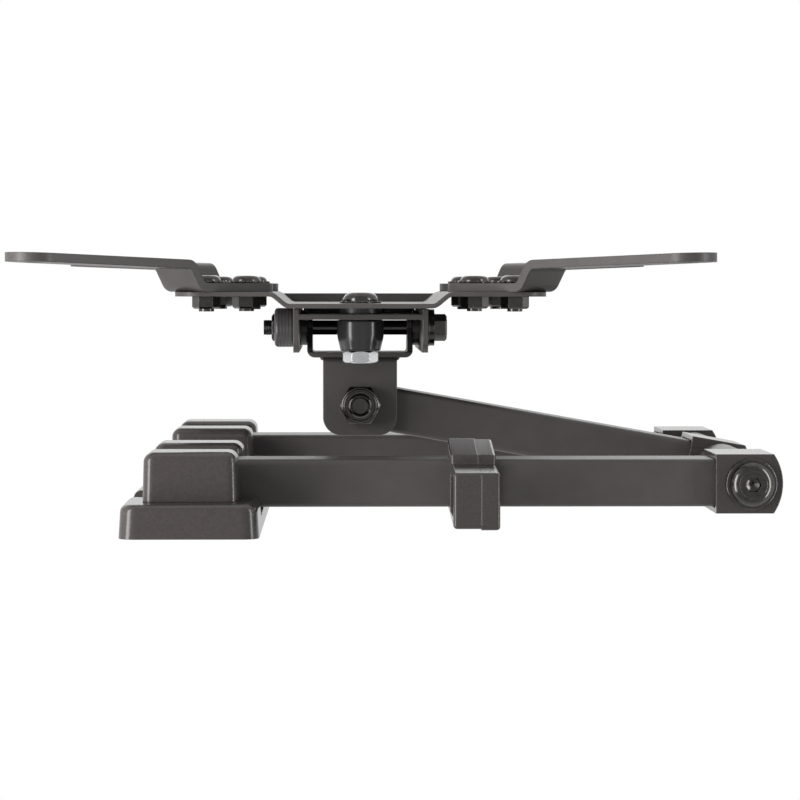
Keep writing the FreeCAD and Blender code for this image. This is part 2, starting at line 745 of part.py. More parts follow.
def make_pivot_bolt(outer):
    bolt = Piece("pivot_bolt", HEAD_AT)
    tip = outer + S.lock_nut_tall + S.lock_collar_tall + S.thread_proud
    bolt.pad("plan", outer, S.hex_head_tall, hexagon(HEAD_AXIS, S.hex_wide))
    bolt.round(S.hex_chamfer, flat_at("z", outer + S.hex_head_tall), "Chamfer")
    bolt.pad("plan", -tip, tip + outer, circle(HEAD_AXIS, S.shaft_r))
    bolt.round(S.thread_chamfer, ring_of(S.shaft_r, z=values(-tip)), "Chamfer")
    nut = Piece("pivot_lock_nut", HEAD_AT)
    bore = circle(HEAD_AXIS, S.shaft_r)
    nut_end = outer + S.lock_nut_tall
    nut.pad("plan", -nut_end, S.lock_nut_tall, hexagon(HEAD_AXIS, S.hex_wide), bore)
    nut.round(S.hex_chamfer, flat_at("z", -nut_end), "Chamfer")
    collar = circle(HEAD_AXIS, S.lock_collar_r)
    nut.pad("plan", -nut_end - S.lock_collar_tall, S.lock_collar_tall, collar, bore)


# Tilt bracket: two side plates joined by a strip at each end, hung on one cross bolt
TILT_AXIS = (S.tilt_out, as_size(0))
SIDE_IN = S.side_gap / 2
SIDE_OUT = SIDE_IN + S.sheet


def make_tilt_bracket():
    piece = Piece("tilt_bracket", HEAD_AT)
    half = S.side_tall / 2
    top = S.floor_out - S.slot_gap
    for start in (-SIDE_OUT, SIDE_IN):
        piece.pad("side", start, S.sheet, rectangle(S.side_low, top, -half, half))
    piece.round(S.side_corner, runs_along("x", y=values(-S.side_low)))
    for start in (-half, half - S.strip_tall):
        piece.pad("front", S.strip_out, S.sheet, rectangle(-SIDE_OUT, SIDE_OUT, start, start + S.strip_tall))
    piece.cut("side", -SIDE_OUT, 2 * SIDE_OUT, circle(TILT_AXIS, S.tilt_bolt_r))
    slot_r = S.clamp_bolt_r + S.slot_gap
    sweep = 2 * S.clamp_drop * sine(S.level_sweep) + S.slot_gap
    slot = polygon((-sweep, -S.clamp_drop - slot_r), (sweep, -S.clamp_drop - slot_r),
                   (sweep, -S.clamp_drop + slot_r), (-sweep, -S.clamp_drop + slot_r),
                   arcs={1: slot_r * HALF_BOW, 3: slot_r * HALF_BOW})
    piece.cut("front", S.strip_out, S.sheet, slot)
    piece.cut("front", S.strip_out, S.sheet, circle((0, S.clamp_drop), S.clamp_bolt_r))


def make_tilt_bolt():
    shank = circle(TILT_AXIS, S.tilt_bolt_r)
    friction = Piece("friction_washers", HEAD_AT)
    inner = S.yoke_wide / 2 + S.face_gap
    for start in (-SIDE_IN, inner):
        friction.pad("side", start, SIDE_IN - inner, circle(TILT_AXIS, S.friction_r), shank)
    spacer = Piece("tilt_spacer", HEAD_AT)
    for number in range(2):
        start = SIDE_OUT + number * S.tilt_washer_thick
        spacer.pad("side", start, S.tilt_washer_thick,
                   circle(TILT_AXIS, S.tilt_washer_r - number * S.face_gap), shank)
    seat = SIDE_OUT + 2 * S.tilt_washer_thick
    knob_end = SIDE_OUT + S.face_gap + S.tilt_knob_long
    tip = knob_end + S.tilt_nut_proud + S.tilt_thread_proud
    bolt = Piece("tilt_bolt", HEAD_AT)
    bolt.pad("side", seat, S.tilt_head_tall, hexagon(TILT_AXIS, S.tilt_hex_wide))
    bolt.round(S.tilt_hex_chamfer, flat_at("x", seat + S.tilt_head_tall), "Chamfer")
    bolt.pad("side", -tip, tip + seat, shank)
    knob = Piece("tilt_knob", HEAD_AT)
    bore = circle(TILT_AXIS, S.tilt_bolt_r + S.running_gap)
    third = S.tilt_knob_long / 3
    for number in range(3):
        ring_r = S.tilt_knob_r - (S.tilt_knob_groove if number == 1 else 0)
        knob.pad("side", -knob_end + number * third, third, circle(TILT_AXIS, ring_r), bore)
    knob.round(S.tilt_knob_round, ring_of(S.tilt_knob_r, x=values(-knob_end)))
    pocket = S.tilt_nut_tall - S.tilt_nut_proud
    knob.cut("side", -knob_end, pocket, hexagon(TILT_AXIS, S.tilt_hex_wide))
    nut = Piece("tilt_nut", HEAD_AT)
    nut_end = -knob_end - S.tilt_nut_proud
    nut.pad("side", nut_end, S.tilt_nut_tall, hexagon(TILT_AXIS, S.tilt_hex_wide), bore)
    nut.round(S.tilt_hex_chamfer, flat_at("x", nut_end), "Chamfer")


# Screen plate: a pressed tray with two side flanges, closed by a wall at its upper edge
FLANGE_LOW = S.floor_out + S.flange_rise
FLANGE_TOP = FLANGE_LOW + S.screen_sheet
FLOOR_TOP = S.floor_out + S.screen_sheet
SCREW_PLACES = [(x * hole, z * hole) for x, z in FOUR_CORNERS for hole in (S.inner_hole, S.middle_hole)]


def make_screen_plate():
    piece = Piece("screen_plate", HEAD_AT)
    half = S.screen_plate_wide / 2
    floor_half = S.floor_half - S.bend_shift
    flange_half = S.flange_half - S.bend_shift
    tray = polygon((-half, FLANGE_LOW), (-S.flange_half, FLANGE_LOW), (-S.floor_half, S.floor_out),
                   (S.floor_half, S.floor_out), (S.flange_half, FLANGE_LOW), (half, FLANGE_LOW),
                   (half, FLANGE_TOP), (flange_half, FLANGE_TOP), (floor_half, FLOOR_TOP),
                   (-floor_half, FLOOR_TOP), (-flange_half, FLANGE_TOP), (-half, FLANGE_TOP))
    piece.pad("plan", -half, S.screen_plate_wide, tray)
    piece.round(S.screen_corner, runs_along("y", x=values(-half, half)))
    inside = values(-S.flange_half, S.flange_half, -floor_half, floor_half)
    outside = values(-S.floor_half, S.floor_half, -flange_half, flange_half)
    piece.round(S.tray_bend, runs_along("z", x=inside))
    piece.round(S.tray_bend + S.screen_sheet, runs_along("z", x=outside))
    wall_low = (floor_half + S.floor_half) / 2
    wall_high = (flange_half + S.flange_half) / 2
    low = (S.floor_out + FLOOR_TOP) / 2
    high = (FLANGE_LOW + FLANGE_TOP) / 2
    end_wall = polygon((-wall_low, low), (wall_low, low), (wall_high, high), (-wall_high, high))
    piece.pad("plan", half - S.screen_sheet, S.screen_sheet, end_wall)
    screws = [circle(place, S.plate_screw_r) for place in SCREW_PLACES]
    piece.cut("front", FLANGE_LOW, S.screen_sheet, *screws)
    bolts = [circle((0, side * S.clamp_drop), S.clamp_bolt_r) for side in BOTH_SIDES]
    piece.cut("front", S.floor_out, S.screen_sheet, *bolts)


# Extension straps: flat bars with a step, bolted across the plate's corners
STRAP_LABELS = ("strap_lower_left", "strap_lower_right", "strap_upper_right", "strap_upper_left")
DIAGONAL = math.sqrt(2)


def make_straps():
    for label, (x, z) in zip(STRAP_LABELS, FOUR_CORNERS):
        along = FreeCAD.Vector(x, 0, z)
        out = FreeCAD.Vector(0, -1, 0)
        rotation = FreeCAD.Rotation(along, out.cross(along), out, "ZXY")
        make_strap(Piece(label, (HEAD_X, -FLANGE_TOP, 0), rotation=rotation))


def make_strap(piece):
    """Drawn along its own X from the plate's middle, with its own Z out of the wall."""
    half = S.strap_wide / 2
    first = S.inner_hole * DIAGONAL
    second = S.middle_hole * DIAGONAL
    last = S.outer_hole * DIAGONAL
    step_end = S.strap_step_start + S.strap_step_run
    splay = (last + half - step_end) * tangent(S.strap_splay)
    tall = S.strap_step_rise + splay + S.strap_thick
    start = first - half - BEYOND
    end = last + half + BEYOND
    end_rise = S.strap_step_rise + (end - step_end) * tangent(S.strap_splay)
    piece.pad("plan", 0, tall, rectangle(first, last, -half, half))
    piece.pad("plan", 0, tall, circle((first, 0), half))
    piece.pad("plan", 0, tall, circle((last, 0), half))
    thick = S.strap_thick
    ramp = root(S.strap_step_run * S.strap_step_run + S.strap_step_rise * S.strap_step_rise)
    shift = thick * (ramp - S.strap_step_run) / S.strap_step_rise
    low_bend = S.strap_step_start - shift
    high_bend = step_end - shift
    above = [(start, thick), (low_bend, thick), (high_bend, S.strap_step_rise + thick),
             (end, end_rise + thick), (end, tall + end_rise), (start, tall + end_rise)]
    below = [(S.strap_step_start, 0), (step_end, S.strap_step_rise), (end, end_rise), (end, -BEYOND),
             (S.strap_step_start, -BEYOND)]
    for outline in (above, below):
        piece.cut("front", -half - BEYOND, S.strap_wide + 2 * BEYOND, polygon(*outline))
    piece.round(S.strap_bend, runs_along("y", x=values(low_bend, step_end)))
    piece.round(S.strap_bend + thick, runs_along("y", x=values(S.strap_step_start, high_bend)))
    for x in (first, second):
        piece.cut("plan", 0, tall, circle((x, 0), S.plate_screw_r))
    piece.cut("plan", 0, tall, circle((last, 0), S.outer_hole_r))


def make_plate_screws():
    seat = FLANGE_TOP + S.strap_thick
    screws = Piece("plate_screws", HEAD_AT)
    nuts = Piece("plate_nuts", HEAD_AT)
    nut_low = FLANGE_LOW - S.plate_nut_tall
    tip = nut_low - S.plate_screw_proud
    top = seat + S.plate_head_tall
    for place in SCREW_PLACES:
        screws.pad("front", seat, S.plate_head_tall, circle(place, S.plate_head_r))
        screws.pad("front", tip, seat - tip, circle(place, S.plate_screw_r))
        nuts.pad("front", nut_low, S.plate_nut_tall, hexagon(place, S.plate_nut_wide),
                 circle(place, S.plate_screw_r))
    screws.round(S.plate_head_tall * S.dome_share, ring_of(S.plate_head_r, y=values(-top)))
    sockets = [hexagon(place, S.plate_socket_wide) for place in SCREW_PLACES]
    screws.cut("front", top - S.plate_socket_deep, S.plate_socket_deep, *sockets)
    nuts.round(S.tilt_hex_chamfer, flat_at("y", -nut_low), "Chamfer")


# Level pivot at the top of the tray, and the clamp that locks it at the bottom
KNOB_SIDES = 8


def make_level_clamp():
    low_place = (as_size(0), -S.clamp_drop)
    high_place = (as_size(0), S.clamp_drop)
    strip_top = S.strip_out + S.sheet
    spacing = S.floor_out - strip_top - S.face_gap
    washer = Piece("clamp_washer", HEAD_AT)
    washer.pad("front", S.floor_out - spacing, spacing, circle(low_place, S.level_washer_r),
               circle(low_place, S.clamp_bolt_r))
    pad = Piece("level_pad", HEAD_AT)
    pad_half = S.level_pad_tall / 2
    pad.pad("front", S.floor_out - spacing, spacing, circle(high_place, S.clamp_bolt_r),
            rectangle(-S.level_pad_half, S.level_pad_half, S.clamp_drop - pad_half, S.clamp_drop + pad_half))
    rivet = Piece("level_rivet", HEAD_AT)
    foot = S.strip_out - S.face_gap - S.rivet_head_tall
    rivet.pad("front", FLOOR_TOP, S.rivet_head_tall, circle(high_place, S.rivet_head_r))
    rivet.pad("front", foot, FLOOR_TOP - foot, circle(high_place, S.clamp_bolt_r - S.running_gap))
    rivet.pad("front", foot, S.rivet_head_tall, circle(high_place, S.rivet_head_r))
    rivet.round(S.rivet_head_tall * S.dome_share,
                ring_of(S.rivet_head_r, y=values(-foot, -FLOOR_TOP - S.rivet_head_tall)))
    knob_low = S.strip_out - S.face_gap - S.knob_tall
    bolt_low = knob_low - S.clamp_nut_tall
    bolt = Piece("clamp_bolt", HEAD_AT)
    bolt.pad("front", FLOOR_TOP, S.clamp_head_tall, circle(low_place, S.clamp_head_r))
    bolt.pad("front", bolt_low, FLOOR_TOP - bolt_low, circle(low_place, S.clamp_bolt_r))
    head_top = FLOOR_TOP + S.clamp_head_tall
    bolt.round(S.clamp_head_tall * S.dome_share, ring_of(S.clamp_head_r, y=values(-head_top)))
    bore = circle(low_place, S.clamp_bolt_r + S.running_gap)
    knob = Piece("clamp_knob", HEAD_AT)
    knob.pad("front", knob_low, S.knob_tall, hexagon(low_place, S.knob_foot_wide, KNOB_SIDES),
             taper=S.knob_taper)
    knob.cut("front", knob_low, S.knob_tall, bore)
    nut = Piece("clamp_nut", HEAD_AT)
    nut.pad("front", bolt_low, S.clamp_nut_tall, hexagon(low_place, S.clamp_nut_wide), bore)
    nut.round(S.hex_chamfer, flat_at("y", -bolt_low), "Chamfer")


# Cable clip: a collar that slides on the lower arm, with a cable channel below it
def make_cable_clip():
    middle = S.clip_at + S.clip_long
    make_clip(Piece("cable_clip"), S.clip_at, S.clip_long, as_size(0), S.clip_at)
    make_clip(Piece("cable_clip_keeper"), middle, S.keeper_long, S.keeper_drop, middle + S.keeper_long)


def make_clip(piece, start, length, drop, outside):
    """One half of the collar, rounded on its outside face."""
    level = ARM_LEVELS[0]
    gap = S.clip_gap
    wall = S.clip_wall
    low_z = level - S.tube_tall / 2 - gap
    high_z = level + S.tube_tall / 2 + gap
    low_out = S.pivot_out - S.tube_wide / 2 - gap
    high_out = S.pivot_out + S.tube_wide / 2 + gap
    step_z = low_z - wall
    front_z = step_z - S.clip_channel
    back_z = high_z + wall
    outline = polygon((S.clip_front_low - drop, front_z), (S.clip_front_out, front_z),
                      (S.clip_front_out + S.clip_step, step_z), (high_out + S.clip_step, step_z),
                      (high_out + S.clip_back_rise - drop, back_z), (low_out - S.clip_step, back_z))
    piece.pad("side", start, length, outline)
    piece.round(S.clip_round, runs_along("x", z=values(front_z, back_z)))
    piece.round(S.clip_round, flat_at("x", outside))
    piece.cut("side", start, length, rectangle(low_out, high_out, low_z, high_z))
    piece.cut("side", start, length,
              rectangle(low_out - wall / 2, S.clip_front_out - wall, front_z + wall, step_z))


make_wall_plate()
make_wall_cover()
make_wall_pivots()
make_arm_pair()
make_elbow()
make_forearm()
make_swivel_head()
make_tilt_bracket()
make_tilt_bolt()
make_screen_plate()
make_straps()
make_plate_screws()
make_level_clamp()
make_cable_clip()
doc.recompute()


def sub_parts():
    bodies = [item for item in doc.Objects if item.TypeId == "PartDesign::Body"]
    return bodies + [doc.getObject("wall_cover"), doc.getObject("cover_towers")]


for item in doc.Objects:
    if "Invalid" in item.State or "Error" in item.State:
        raise ValueError(f"{item.Label} failed: {item.State}")
for item in sub_parts():
    if item.Shape.isNull() or not item.Shape.isValid():
        raise ValueError(f"{item.Label} has no valid shape")

os.makedirs("parts", exist_ok=True)
for item in sub_parts():
    item.Shape.exportStep(f"parts/{item.Label}.step")
    print(f"{item.Label}: {len(item.Shape.Solids)} solid(s), {item.Shape.Volume:.0f} mm3")
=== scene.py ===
# %% [markdown]
# A folding wall mount for a flat screen, dressed over its CAD model. The CAD gives every rigid shape
# at its real size, so this lesson adds what the eye reads on the real thing: the powder coat on the
# steel, the fine grain of the mouldings, the gloss of the clamp grip, the turned nuts and threads,
# and the studio around it.

import json
import math

import bmesh
import bpy
from mathutils import Matrix, Vector


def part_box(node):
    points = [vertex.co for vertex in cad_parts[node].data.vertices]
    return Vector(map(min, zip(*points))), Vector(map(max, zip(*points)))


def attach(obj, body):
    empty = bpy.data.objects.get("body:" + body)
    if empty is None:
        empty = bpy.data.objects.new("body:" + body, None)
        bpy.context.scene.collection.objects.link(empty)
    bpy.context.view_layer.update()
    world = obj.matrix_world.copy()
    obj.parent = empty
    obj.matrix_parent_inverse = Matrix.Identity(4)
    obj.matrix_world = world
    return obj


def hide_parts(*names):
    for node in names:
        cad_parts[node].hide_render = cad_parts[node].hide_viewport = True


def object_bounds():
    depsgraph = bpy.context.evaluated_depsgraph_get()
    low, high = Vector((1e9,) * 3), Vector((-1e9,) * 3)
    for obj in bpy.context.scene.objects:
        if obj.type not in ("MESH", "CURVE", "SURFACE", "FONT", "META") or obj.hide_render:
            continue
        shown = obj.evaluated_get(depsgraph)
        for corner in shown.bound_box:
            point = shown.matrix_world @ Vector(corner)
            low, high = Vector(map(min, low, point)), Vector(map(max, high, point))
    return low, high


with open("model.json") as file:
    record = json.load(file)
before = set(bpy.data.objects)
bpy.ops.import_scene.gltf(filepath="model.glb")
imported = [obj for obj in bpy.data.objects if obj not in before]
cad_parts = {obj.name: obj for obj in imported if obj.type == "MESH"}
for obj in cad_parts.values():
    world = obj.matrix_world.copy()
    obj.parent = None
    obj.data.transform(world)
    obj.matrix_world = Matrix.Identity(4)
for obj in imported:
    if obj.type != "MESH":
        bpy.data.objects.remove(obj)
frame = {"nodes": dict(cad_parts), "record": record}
cad_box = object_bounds()
nodes = frame["nodes"]
MM = 0.001
print("CAD nodes:", len(nodes), "box from", cad_box[0], "to", cad_box[1])

# %% [markdown]
# Colours are given as sRGB hex values, but Cycles mixes light in linear numbers. One function
# turns the first into the second. A second small function adds a shader node with its settings and
# links, so that each material below reads as a list of what the surface is made of.

# %% Colour and node helpers

FULL_BYTE = 255
CURVE_STARTS = 0.04045
CURVE_SLOPE = 12.92
CURVE_OFFSET = 0.055
CURVE_POWER = 2.4
NOISE_MIDDLE = 0.5
NOISE_SPREAD = 0.2
GLOSS_DRIFT = 0.05


def straighten(channel):
    """One sRGB channel as a linear number."""
    if channel <= CURVE_STARTS:
        return channel / CURVE_SLOPE
    return ((channel + CURVE_OFFSET) / (1 + CURVE_OFFSET)) ** CURVE_POWER


def linear(hex_colour):
    """A hex colour as the linear RGBA that shader sockets take."""
    channels = [int(hex_colour[start:start + 2], 16) / FULL_BYTE for start in (1, 3, 5)]
    return (*[straighten(channel) for channel in channels], 1.0)


def add_node(tree, kind, links=None, **settings):
    """Adds a node, sets its properties or sockets, and links other nodes' outputs to its inputs."""
    node = tree.nodes.new(kind)
    for name, value in settings.items():
        if hasattr(node, name):
            setattr(node, name, value)
        else:
            node.inputs[name.replace("_", " ")].default_value = value
    for socket, source in (links or {}).items():
        tree.links.new(source, node.inputs[socket])
    return node


def per_metre(grain_mm):
    """The texture scale that makes one grain this many millimetres wide."""
    return 1 / (grain_mm * MM)


def ramp_between(tree, factor, dark, light, spread=NOISE_SPREAD):
    """A colour that drifts from dark to light around the middle of a noise."""
    ramp = add_node(tree, "ShaderNodeValToRGB", {"Fac": factor})
    first, second = ramp.color_ramp.elements
    first.position = NOISE_MIDDLE - spread
    first.color = dark
    second.position = NOISE_MIDDLE + spread
    second.color = light
    return ramp.outputs["Color"]


def gloss_around(tree, noise, roughness):
    """A roughness that drifts a little with a noise."""
    drift = add_node(tree, "ShaderNodeMapRange", {"Value": noise}, From_Min=NOISE_MIDDLE - NOISE_SPREAD,
                     From_Max=NOISE_MIDDLE + NOISE_SPREAD, To_Min=roughness - GLOSS_DRIFT,
                     To_Max=roughness + GLOSS_DRIFT)
    return drift.outputs["Result"]


print("mid grey is", linear("#808080")[0])

# %% [markdown]
# Every black surface here has three things in common: a slight change of tone over its area, a grain
# that breaks up the gloss, and edges that are never perfectly sharp. The Bevel node rounds the edges
# for the light only, so the CAD mesh stays as it is. Where it turns the normal, the colour is painted a
# little lighter, as a painted highlight on the rounded edge. One recipe builds them all, and each finish
# gives it its own real sizes.

# %% The recipe for a coated or moulded surface

TONE_DRIFT = 0.07
DRIFT_DETAIL = 3.0
GRAIN_DETAIL = 2.0
EDGE_SAMPLES = 6
EDGE_STARTS = 0.995
EDGE_ENDS = 0.80
EDGE_SHARE = 0.5
MIX_FACTOR, MIX_A, MIX_B, MIX_RESULT = 0, 6, 7, 2


def coated(name, colour, edge_highlight_and_thinning_colour, grain_mm, depth_mm, roughness, edge_mm=0.35, wave_mm=6.0,
           tone_drift=TONE_DRIFT):
    """A dielectric skin with grain, soft edges with a painted highlight, and a faint drift of tone and
    gloss.
    """
    material = bpy.data.materials.new(name)
    material.use_nodes = True
    tree = material.node_tree
    shader = tree.nodes["Principled BSDF"]
    place = add_node(tree, "ShaderNodeTexCoord").outputs["Object"]
    drift = add_node(tree, "ShaderNodeTexNoise", {"Vector": place}, Scale=per_metre(wave_mm),
                     Detail=DRIFT_DETAIL).outputs["Fac"]
    grain = add_node(tree, "ShaderNodeTexNoise", {"Vector": place}, Scale=per_metre(grain_mm),
                     Detail=GRAIN_DETAIL).outputs["Fac"]
    red, green, blue, alpha = linear(colour)
    dark, light = [(share * red, share * green, share * blue, alpha)
                   for share in (1 - tone_drift, 1 + tone_drift)]
    tone = ramp_between(tree, drift, dark, light)
    rounded = add_node(tree, "ShaderNodeBevel", samples=EDGE_SAMPLES, Radius=edge_mm * MM)
    soft_edge = rounded.outputs["Normal"]
    flat = add_node(tree, "ShaderNodeNewGeometry").outputs["Normal"]
    turn = add_node(tree, "ShaderNodeVectorMath", {0: soft_edge, 1: flat}, operation="DOT_PRODUCT")
    # Where the Bevel turns the normal away from the flat face, the colour is painted lighter: a painted
    # highlight on the rounded edge, which on the powder coat also stands for its thinner film.
    edge_highlight_and_thinning = add_node(tree, "ShaderNodeMapRange", {"Value": turn.outputs["Value"]}, From_Min=EDGE_STARTS,
                    From_Max=EDGE_ENDS, To_Min=0.0, To_Max=EDGE_SHARE).outputs["Result"]
    skin = add_node(tree, "ShaderNodeMix", {MIX_FACTOR: edge_highlight_and_thinning, MIX_A: tone}, data_type="RGBA")
    skin.inputs[MIX_B].default_value = linear(edge_highlight_and_thinning_colour)
    bump = add_node(tree, "ShaderNodeBump", {"Height": grain, "Normal": soft_edge}, Distance=depth_mm * MM)
    tree.links.new(skin.outputs[MIX_RESULT], shader.inputs["Base Color"])
    tree.links.new(gloss_around(tree, grain, roughness), shader.inputs["Roughness"])
    tree.links.new(bump.outputs["Normal"], shader.inputs["Normal"])
    return material


print("recipe ready")

# %% [markdown]
# Powder-coated mild steel covers the tubes, plates and straps. The powder melts into a satin film
# with a slight orange peel about a millimetre across, and it thins on sharp edges. Its edges are
# painted a little lighter, partly for the thinner film and partly as a painted highlight on the rounded
# edge. The film is a polymer, so its IOR is near 1.5 and it isn't metallic.

# %% Powder-coated mild steel

powder_coat = coated("powder_coated_mild_steel", "#343130", "#474443", grain_mm=0.9, depth_mm=0.003,
                     roughness=0.42, edge_mm=0.55)
print(powder_coat.name)

# %% [markdown]
# The wall cover, the elbow caps and the cable clip are injection-moulded ABS. Their mould was lightly
# blasted, which leaves a fine satin grain. The real grain is about 0.15 mm, too fine to show in the
# render, so it is drawn at 0.4 mm, and a speckle of tone about a millimetre wide gives the mottled
# look of the blasted mould.

# %% Grained moulded ABS

grained_abs = coated("grained_moulded_abs", "#2e2a29", "#423d3c", grain_mm=0.4, depth_mm=0.004,
                     roughness=0.22, edge_mm=0.5, wave_mm=0.9, tone_drift=0.14)
print(grained_abs.name)

# %% [markdown]
# The bushes, plugs and friction washers are moulded nylon, smooth and slightly waxy. The tilt knob is
# a plain satin moulding. The clamp grip came out of a polished mould, so it is nearly black and
# mirrors the studio.

# %% Nylon and the knobs

nylon = coated("moulded_nylon", "#2c2b2b", "#383737", grain_mm=0.8, depth_mm=0.003, roughness=0.36)
satin_knob = coated("satin_moulded_abs", "#383636", "#484646", grain_mm=0.5, depth_mm=0.003, roughness=0.32)
gloss_grip = coated("polished_moulded_abs", "#1f1e1e", "#2b2a2a", grain_mm=2.5, depth_mm=0.002,
                    roughness=0.2, edge_mm=0.3)
print(nylon.name, satin_knob.name, gloss_grip.name)

# %% [markdown]
# The screws, bolts and nuts are steel with a black oxide skin. It is thin enough to mirror like a
# dark metal, with fine tumbling marks in its gloss. The nut under the clamp grip is zinc-plated and
# bright.

# %% Fastener steels

MOTTLE_DETAIL = 4.0
MOTTLE_SPREAD = 0.25
METAL_EDGE = 0.25 * MM


def bare_metal(name, dark, light, mark_mm, roughness):
    """Metal with a faint mottle in its colour and gloss, and softened edges."""
    material = bpy.data.materials.new(name)
    material.use_nodes = True
    tree = material.node_tree
    shader = tree.nodes["Principled BSDF"]
    shader.inputs["Metallic"].default_value = 1.0
    place = add_node(tree, "ShaderNodeTexCoord").outputs["Object"]
    mottle = add_node(tree, "ShaderNodeTexNoise", {"Vector": place}, Scale=per_metre(mark_mm),
                      Detail=MOTTLE_DETAIL).outputs["Fac"]
    tone = ramp_between(tree, mottle, linear(dark), linear(light), spread=MOTTLE_SPREAD)
    soft_edge = add_node(tree, "ShaderNodeBevel", samples=EDGE_SAMPLES, Radius=METAL_EDGE)
    tree.links.new(tone, shader.inputs["Base Color"])
    tree.links.new(gloss_around(tree, mottle, roughness), shader.inputs["Roughness"])
    tree.links.new(soft_edge.outputs["Normal"], shader.inputs["Normal"])
    return material


black_oxide = bare_metal("black_oxide_steel", "#464443", "#565453", mark_mm=1.2, roughness=0.2)
zinc = bare_metal("zinc_plated_steel", "#cccdcf", "#dbdcdd", mark_mm=1.6, roughness=0.24)
print(black_oxide.name, zinc.name)

# %% [markdown]
# The record says which finish each CAD node has. A table turns the record's slot into one of the
# materials above, and every node takes its own from it.

# %% Dress the CAD nodes

FINISHES = {
    "black_steel": powder_coat,
    "textured_moulding": grained_abs,
    "black_fastener": black_oxide,
    "black_nylon": nylon,
    "knob_plastic": satin_knob,
    "knob_gloss": gloss_grip,
    "zinc_plate": zinc,
}
for entry in frame["record"]["subparts"]:
    mesh = nodes[entry["node"]].data
    mesh.materials.clear()
    mesh.materials.append(FINISHES[entry["material_slot"]])

# %% [markdown]
# Turned and moulded details are easiest to think of as rings stacked along an axis. One function
# takes a list of rings, each a distance along the axis and a radius, and skins them into a closed
# mesh. A radius can also be a function of the angle, which gives lobes, flats and teeth. Edges
# sharper than 35 degrees stay crisp.

# %% A ring-by-ring builder

CRISP = math.radians(35)


def skin_rings(name, rings, centre, along, body, slot, across=None, steps=96):
    """Closes a stack of rings into a mesh. The last ring joins the first, so a bore is part of the list."""
    along = Vector(along).normalized()
    across = Vector(across) if across else along.orthogonal().normalized()
    third = along.cross(across)
    shape = bmesh.new()
    loops = []
    for distance, radius in rings:
        loop = []
        for step in range(steps):
            angle = 2 * math.pi * step / steps
            spoke = across * math.cos(angle) + third * math.sin(angle)
            length = radius(angle) if callable(radius) else radius
            loop.append(shape.verts.new(Vector(centre) + along * distance + spoke * length))
        loops.append(loop)
    for low, high in zip(loops, loops[1:] + loops[:1]):
        for step in range(steps):
            after = (step + 1) % steps
            shape.faces.new((low[step], low[after], high[after], high[step]))
    return keep(name, shape, body, slot)


def keep(name, shape, body, slot):
    """Turns a bmesh into a piece that rides on a body and wears the slot's finish."""
    bmesh.ops.recalc_face_normals(shape, faces=shape.faces)
    mesh = bpy.data.meshes.new(name)
    shape.to_mesh(mesh)
    shape.free()
    mesh.shade_smooth()
    mesh.set_sharp_from_angle(angle=CRISP)
    mesh.materials.append(FINISHES[slot])
    piece = bpy.data.objects.new(name, mesh)
    bpy.context.scene.collection.objects.link(piece)
    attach(piece, body)
    return piece


def rolled(start, radius, roll, way, steps=5):
    """Rings of a rounded corner. way 1 climbs from an end face to the side, -1 closes the other end."""
    rings = []
    for step in range(steps):
        turn = math.pi / 2 * step / (steps - 1)
        if way < 0:
            turn = math.pi / 2 - turn
        rings.append((start + way * roll * (1 - math.cos(turn)), radius - roll + roll * math.sin(turn)))
    return rings


print("builder ready")

# %% [markdown]
# The clamp grip is a short moulding with flutes for the fingers. It is straight near the bracket it
# presses on and narrows towards its nut. Its CAD stand-in has eight flats, so this one replaces it at
# the same length, with round ridges between the flutes and a rolled rim at both ends. Its bore stays
# open, because the bolt runs through it.

# %% The clamp grip

GRIP_RIDGES = 6
FLUTE_DEPTH = 0.05
RIM = 0.6 * MM
BOLT_BORE = 3.05 * MM
GRIP_WIDE = 7.7 * MM
GRIP_NARROW = 6.7 * MM
SHOULDER = 0.4
GRIP_STEPS = 12
GRIP_AROUND = 192


def fluted(radius):
    """Ridges as round arcs that meet in a crisp valley."""
    return lambda angle: radius * (1 - FLUTE_DEPTH * (1 - abs(math.cos(GRIP_RIDGES * angle / 2))))


low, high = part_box("clamp_knob")
grip_long = high.y - low.y
rings = [(0.0, BOLT_BORE)]
rings += [(distance, fluted(radius)) for distance, radius in rolled(0.0, GRIP_WIDE, RIM, 1)]
for step in range(1, GRIP_STEPS):
    share = step / GRIP_STEPS
    fall = max(0.0, (share - SHOULDER) / (1 - SHOULDER))
    waist = GRIP_WIDE + (GRIP_NARROW - GRIP_WIDE) * fall * fall * (2 - fall)
    rings.append((RIM + (grip_long - 2 * RIM) * share, fluted(waist)))
rings += [(distance, fluted(radius)) for distance, radius in rolled(grip_long, GRIP_NARROW, RIM, -1)]
rings.append((grip_long, BOLT_BORE))
grip = skin_rings("clamp_grip", rings, ((low.x + high.x) / 2, low.y, (low.z + high.z) / 2), (0, 1, 0),
                  "clamp_turn_knob", "knob_gloss", across=(1, 0, 0), steps=GRIP_AROUND)
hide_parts("clamp_knob")
print("grip is", round(grip_long / MM, 1), "mm long")

# %% [markdown]
# The tilt knob is a plain drum with shallow rings turned into its side and rounded ends. It replaces
# the CAD drum at the same size.

# %% The tilt knob

KNOB_RINGS = 4
RING_DEPTH = 0.06 * MM
KNOB_ROLL = 1.3 * MM
TILT_BORE = 2.55 * MM
KNOB_STEPS = 40

